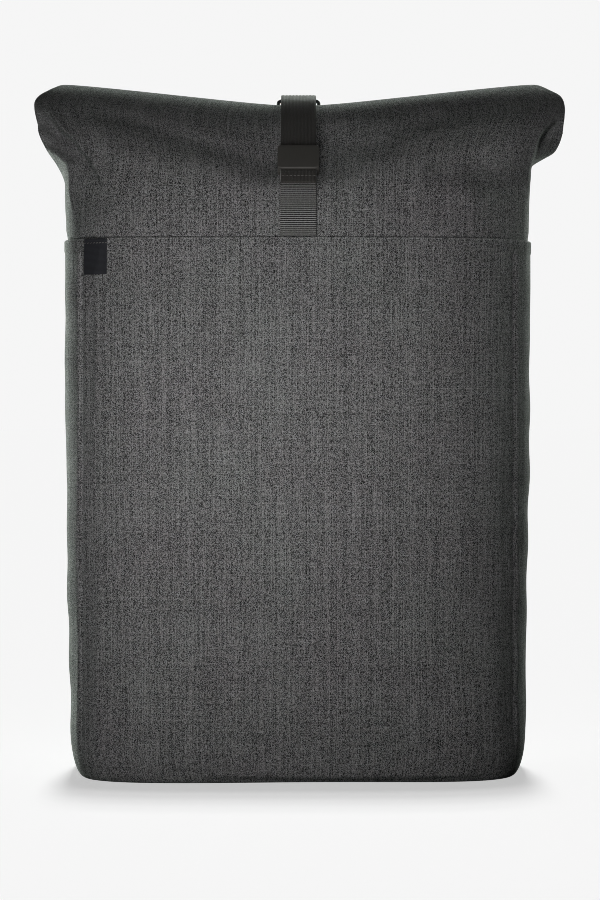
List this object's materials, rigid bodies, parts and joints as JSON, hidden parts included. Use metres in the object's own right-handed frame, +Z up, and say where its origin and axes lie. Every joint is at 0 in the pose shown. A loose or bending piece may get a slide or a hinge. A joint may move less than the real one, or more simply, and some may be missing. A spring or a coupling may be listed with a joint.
{
  "type": "roll-top backpack",
  "caption": "Grey cloth roll-top backpack standing closed on a flat base, with a webbing strap and buckle over the roll and padded shoulder straps behind.",
  "frame": {"origin": "middle of the flat base, where the bag stands", "axes": "+Z up to the roll, -Y out of the front with the buckle, +Y out of the back with the shoulder straps, +X to the viewer's right in the picture"},
  "size_m": [0.3725, 0.184, 0.4896],
  "materials": {
    "grey_cloth": "melange plain weave, matte",
    "strap_cloth": "dark plain weave over foam, matte",
    "black_webbing": "ribbed webbing, low sheen",
    "label_cloth": "fine woven tape, low sheen",
    "dark_plastic": "moulded, satin",
    "black_metal": "black coated, satin"
  },
  "bodies": {
    "root": {"body_shell": "grey_cloth", "roll_collar": "grey_cloth", "closure_strap": "black_webbing", "strap_buckle": "dark_plastic", "front_webbing": "black_webbing", "strap_ring": "black_metal", "anchor_webbing": "black_webbing", "side_label": "label_cloth", "shoulder_strap_left": "strap_cloth", "shoulder_strap_right": "strap_cloth", "adjuster_loop_left": "black_webbing", "adjuster_loop_right": "black_webbing", "adjuster_left": "dark_plastic", "adjuster_right": "dark_plastic", "lower_webbing_left": "black_webbing", "lower_webbing_right": "black_webbing"}
  },
  "joints": []
}
